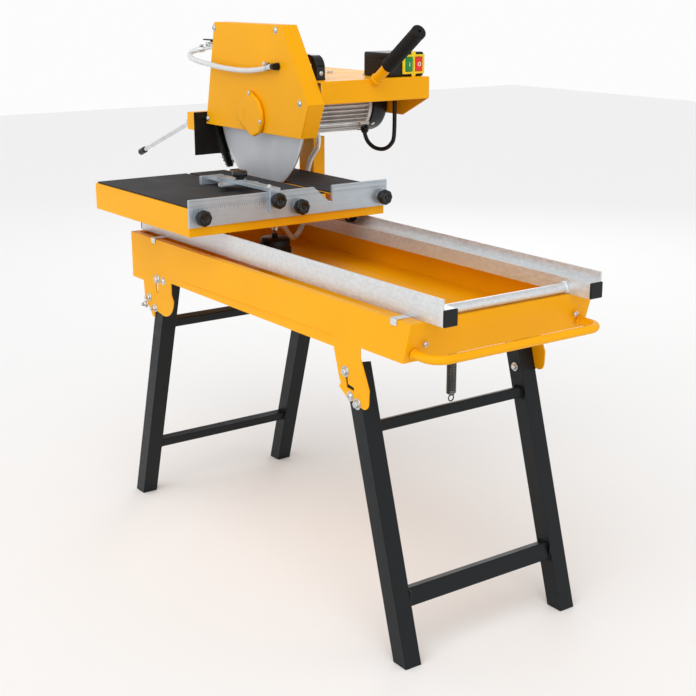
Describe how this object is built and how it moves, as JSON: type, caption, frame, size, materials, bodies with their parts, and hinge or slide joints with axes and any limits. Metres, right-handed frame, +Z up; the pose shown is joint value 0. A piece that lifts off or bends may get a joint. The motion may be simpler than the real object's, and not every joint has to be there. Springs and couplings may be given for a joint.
{
  "type": "tile cutter",
  "caption": "Wet tile saw on folding legs: a rolling table on two rails passes under a tilting head with motor, guarded diamond blade and water feed.",
  "frame": {"origin": "centre of the machine's footprint, on the floor", "axes": "+X along the tray toward the bumper handle, +Y across it toward the column, +Z up"},
  "size_m": [1.6196, 0.643, 1.0725],
  "materials": {
    "yellow_paint": "glossy powder coat",
    "black_paint": "satin powder coat",
    "zinc": "galvanised sheet",
    "aluminium": "mill finish",
    "steel": "bright steel",
    "black_rubber": "ribbed rubber",
    "black_plastic": "moulded",
    "yellow_plastic": "moulded",
    "green_plastic": "moulded",
    "red_plastic": "moulded",
    "clear_hose": "clear vinyl"
  },
  "bodies": {
    "frame": {"tray": "yellow_paint", "rail_near": "zinc", "rail_far": "zinc", "cross_tube": "zinc", "bumper_handle": "yellow_paint", "leg_spring": "steel", "column": "yellow_paint", "pump": "black_plastic", "feed_hose": "clear_hose"},
    "front_legs": {"front_leg_near": "black_paint", "front_leg_far": "black_paint", "front_bar_upper": "black_paint", "front_bar_lower": "black_paint"},
    "rear_legs": {"rear_leg_near": "black_paint", "rear_leg_far": "black_paint", "rear_bar_upper": "black_paint", "rear_bar_lower": "black_paint"},
    "table": {"table": "yellow_paint", "mat_near": "black_rubber", "mat_middle": "black_rubber", "mat_far": "black_rubber", "fence": "aluminium"},
    "fence_knob_near": {"fence_knob_near": "black_plastic"},
    "fence_knob_middle": {"fence_knob_middle": "black_plastic"},
    "fence_knob_far": {"fence_knob_far": "black_plastic"},
    "roller_front_near": {"roller_front_near": "black_plastic"},
    "roller_front_far": {"roller_front_far": "black_plastic"},
    "roller_rear_near": {"roller_rear_near": "black_plastic"},
    "roller_rear_far": {"roller_rear_far": "black_plastic"},
    "mitre_gauge": {"mitre_bar": "aluminium"},
    "mitre_clamp_knob": {"mitre_clamp_knob": "black_plastic"},
    "mitre_head": {"mitre_head": "aluminium"},
    "mitre_lock_knob": {"mitre_lock_knob": "black_plastic"},
    "head": {"head_arm": "yellow_paint", "pivot_shaft": "steel", "hood": "yellow_paint", "guard": "yellow_paint", "guard_cover": "yellow_paint", "hub_cover": "yellow_paint", "motor_body": "aluminium", "fan_cover": "black_plastic", "lever_tube": "yellow_paint", "grip": "black_rubber", "carry_handle": "black_plastic", "switch_box": "black_plastic", "switch_plate": "yellow_plastic", "splash_curtain": "black_rubber", "brush": "black_rubber", "water_tap": "steel", "spray_hose": "clear_hose", "head_hose": "clear_hose", "motor_lead": "black_rubber"},
    "blade_shaft": {"motor_shaft": "steel", "blade": "steel", "blade_flange": "steel"},
    "start_button": {"start_button": "green_plastic"},
    "stop_button": {"stop_button": "red_plastic"},
    "tap_lever": {"tap_lever": "black_plastic"},
    "clamp_lever": {"clamp_rod": "steel", "clamp_knob": "black_plastic"}
  },
  "joints": [
    {"name": "front_leg_fold", "type": "hinge", "parent": "frame", "child": "front_legs", "pos_m": [0.58885, -0.0505, 0.5015], "axis": [0, 1, 0], "range_deg": [0, 106.4]},
    {"name": "rear_leg_fold", "type": "hinge", "parent": "frame", "child": "rear_legs", "pos_m": [-0.10315, -0.0505, 0.5385], "axis": [0, -1, 0], "range_deg": [0, 106.4]},
    {"name": "table_travel", "type": "slide", "parent": "frame", "child": "table", "axis": [1, 0, 0], "range_m": [-0.015, 0.6]},
    {"name": "head_tilt", "type": "hinge", "parent": "frame", "child": "head", "pos_m": [-0.49565, 0.1545, 0.827], "axis": [0, -1, 0], "range_deg": [0, 30]},
    {"name": "blade_spin", "type": "hinge", "parent": "head", "child": "blade_shaft", "pos_m": [-0.12015, 0.0115, 0.888], "axis": [0, 1, 0], "continuous": true},
    {"name": "start_press", "type": "slide", "parent": "head", "child": "start_button", "axis": [-1, 0, 0], "range_m": [0, 0.002], "stiffness_N_per_m": 900},
    {"name": "stop_press", "type": "slide", "parent": "head", "child": "stop_button", "axis": [-1, 0, 0], "range_m": [0, 0.002], "stiffness_N_per_m": 900},
    {"name": "tap_turn", "type": "hinge", "parent": "head", "child": "tap_lever", "pos_m": [-0.32823, 0.0115, 1.023], "axis": [0, 0, 1], "range_deg": [0, 90]},
    {"name": "clamp_turn", "type": "hinge", "parent": "head", "child": "clamp_lever", "pos_m": [-0.51845, 0.0575, 0.821], "axis": [1, 0, 0], "range_deg": [-45, 45]},
    {"name": "mitre_travel", "type": "slide", "parent": "table", "child": "mitre_gauge", "axis": [0, 1, 0], "range_m": [-0.12, 0.025]},
    {"name": "mitre_swivel", "type": "hinge", "parent": "mitre_gauge", "child": "mitre_head", "pos_m": [0.01685, -0.1285, 0.7515], "axis": [0, 0, 1], "range_deg": [-45, 45]},
    {"name": "mitre_clamp_turn", "type": "hinge", "parent": "mitre_gauge", "child": "mitre_clamp_knob", "pos_m": [0.15445, -0.1285, 0.735], "axis": [1, 0, 0], "continuous": true},
    {"name": "mitre_lock_turn", "type": "hinge", "parent": "mitre_gauge", "child": "mitre_lock_knob", "pos_m": [0.01685, -0.1285, 0.759], "axis": [0, 0, 1], "continuous": true},
    {"name": "fence_knob_near_turn", "type": "hinge", "parent": "table", "child": "fence_knob_near", "pos_m": [0.14615, -0.2965, 0.7155], "axis": [1, 0, 0], "continuous": true},
    {"name": "fence_knob_middle_turn", "type": "hinge", "parent": "table", "child": "fence_knob_middle", "pos_m": [0.14615, -0.0675, 0.7155], "axis": [1, 0, 0], "continuous": true},
    {"name": "fence_knob_far_turn", "type": "hinge", "parent": "table", "child": "fence_knob_far", "pos_m": [0.14615, 0.1445, 0.7155], "axis": [1, 0, 0], "continuous": true},
    {"name": "roller_front_near_roll", "type": "hinge", "parent": "table", "child": "roller_front_near", "pos_m": [0.07985, -0.2116, 0.6676], "axis": [0, 1, 0], "continuous": true},
    {"name": "roller_front_far_roll", "type": "hinge", "parent": "table", "child": "roller_front_far", "pos_m": [0.07985, 0.1106, 0.6676], "axis": [0, 1, 0], "continuous": true},
    {"name": "roller_rear_near_roll", "type": "hinge", "parent": "table", "child": "roller_rear_near", "pos_m": [-0.21915, -0.2116, 0.6676], "axis": [0, 1, 0], "continuous": true},
    {"name": "roller_rear_far_roll", "type": "hinge", "parent": "table", "child": "roller_rear_far", "pos_m": [-0.21915, 0.1106, 0.6676], "axis": [0, 1, 0], "continuous": true}
  ],
  "couplings": [
    {"joint": "roller_front_near_roll", "follows": "table_travel", "rad_per_m": 76.923},
    {"joint": "roller_front_far_roll", "follows": "table_travel", "rad_per_m": 76.923},
    {"joint": "roller_rear_near_roll", "follows": "table_travel", "rad_per_m": 76.923},
    {"joint": "roller_rear_far_roll", "follows": "table_travel", "rad_per_m": 76.923}
  ]
}
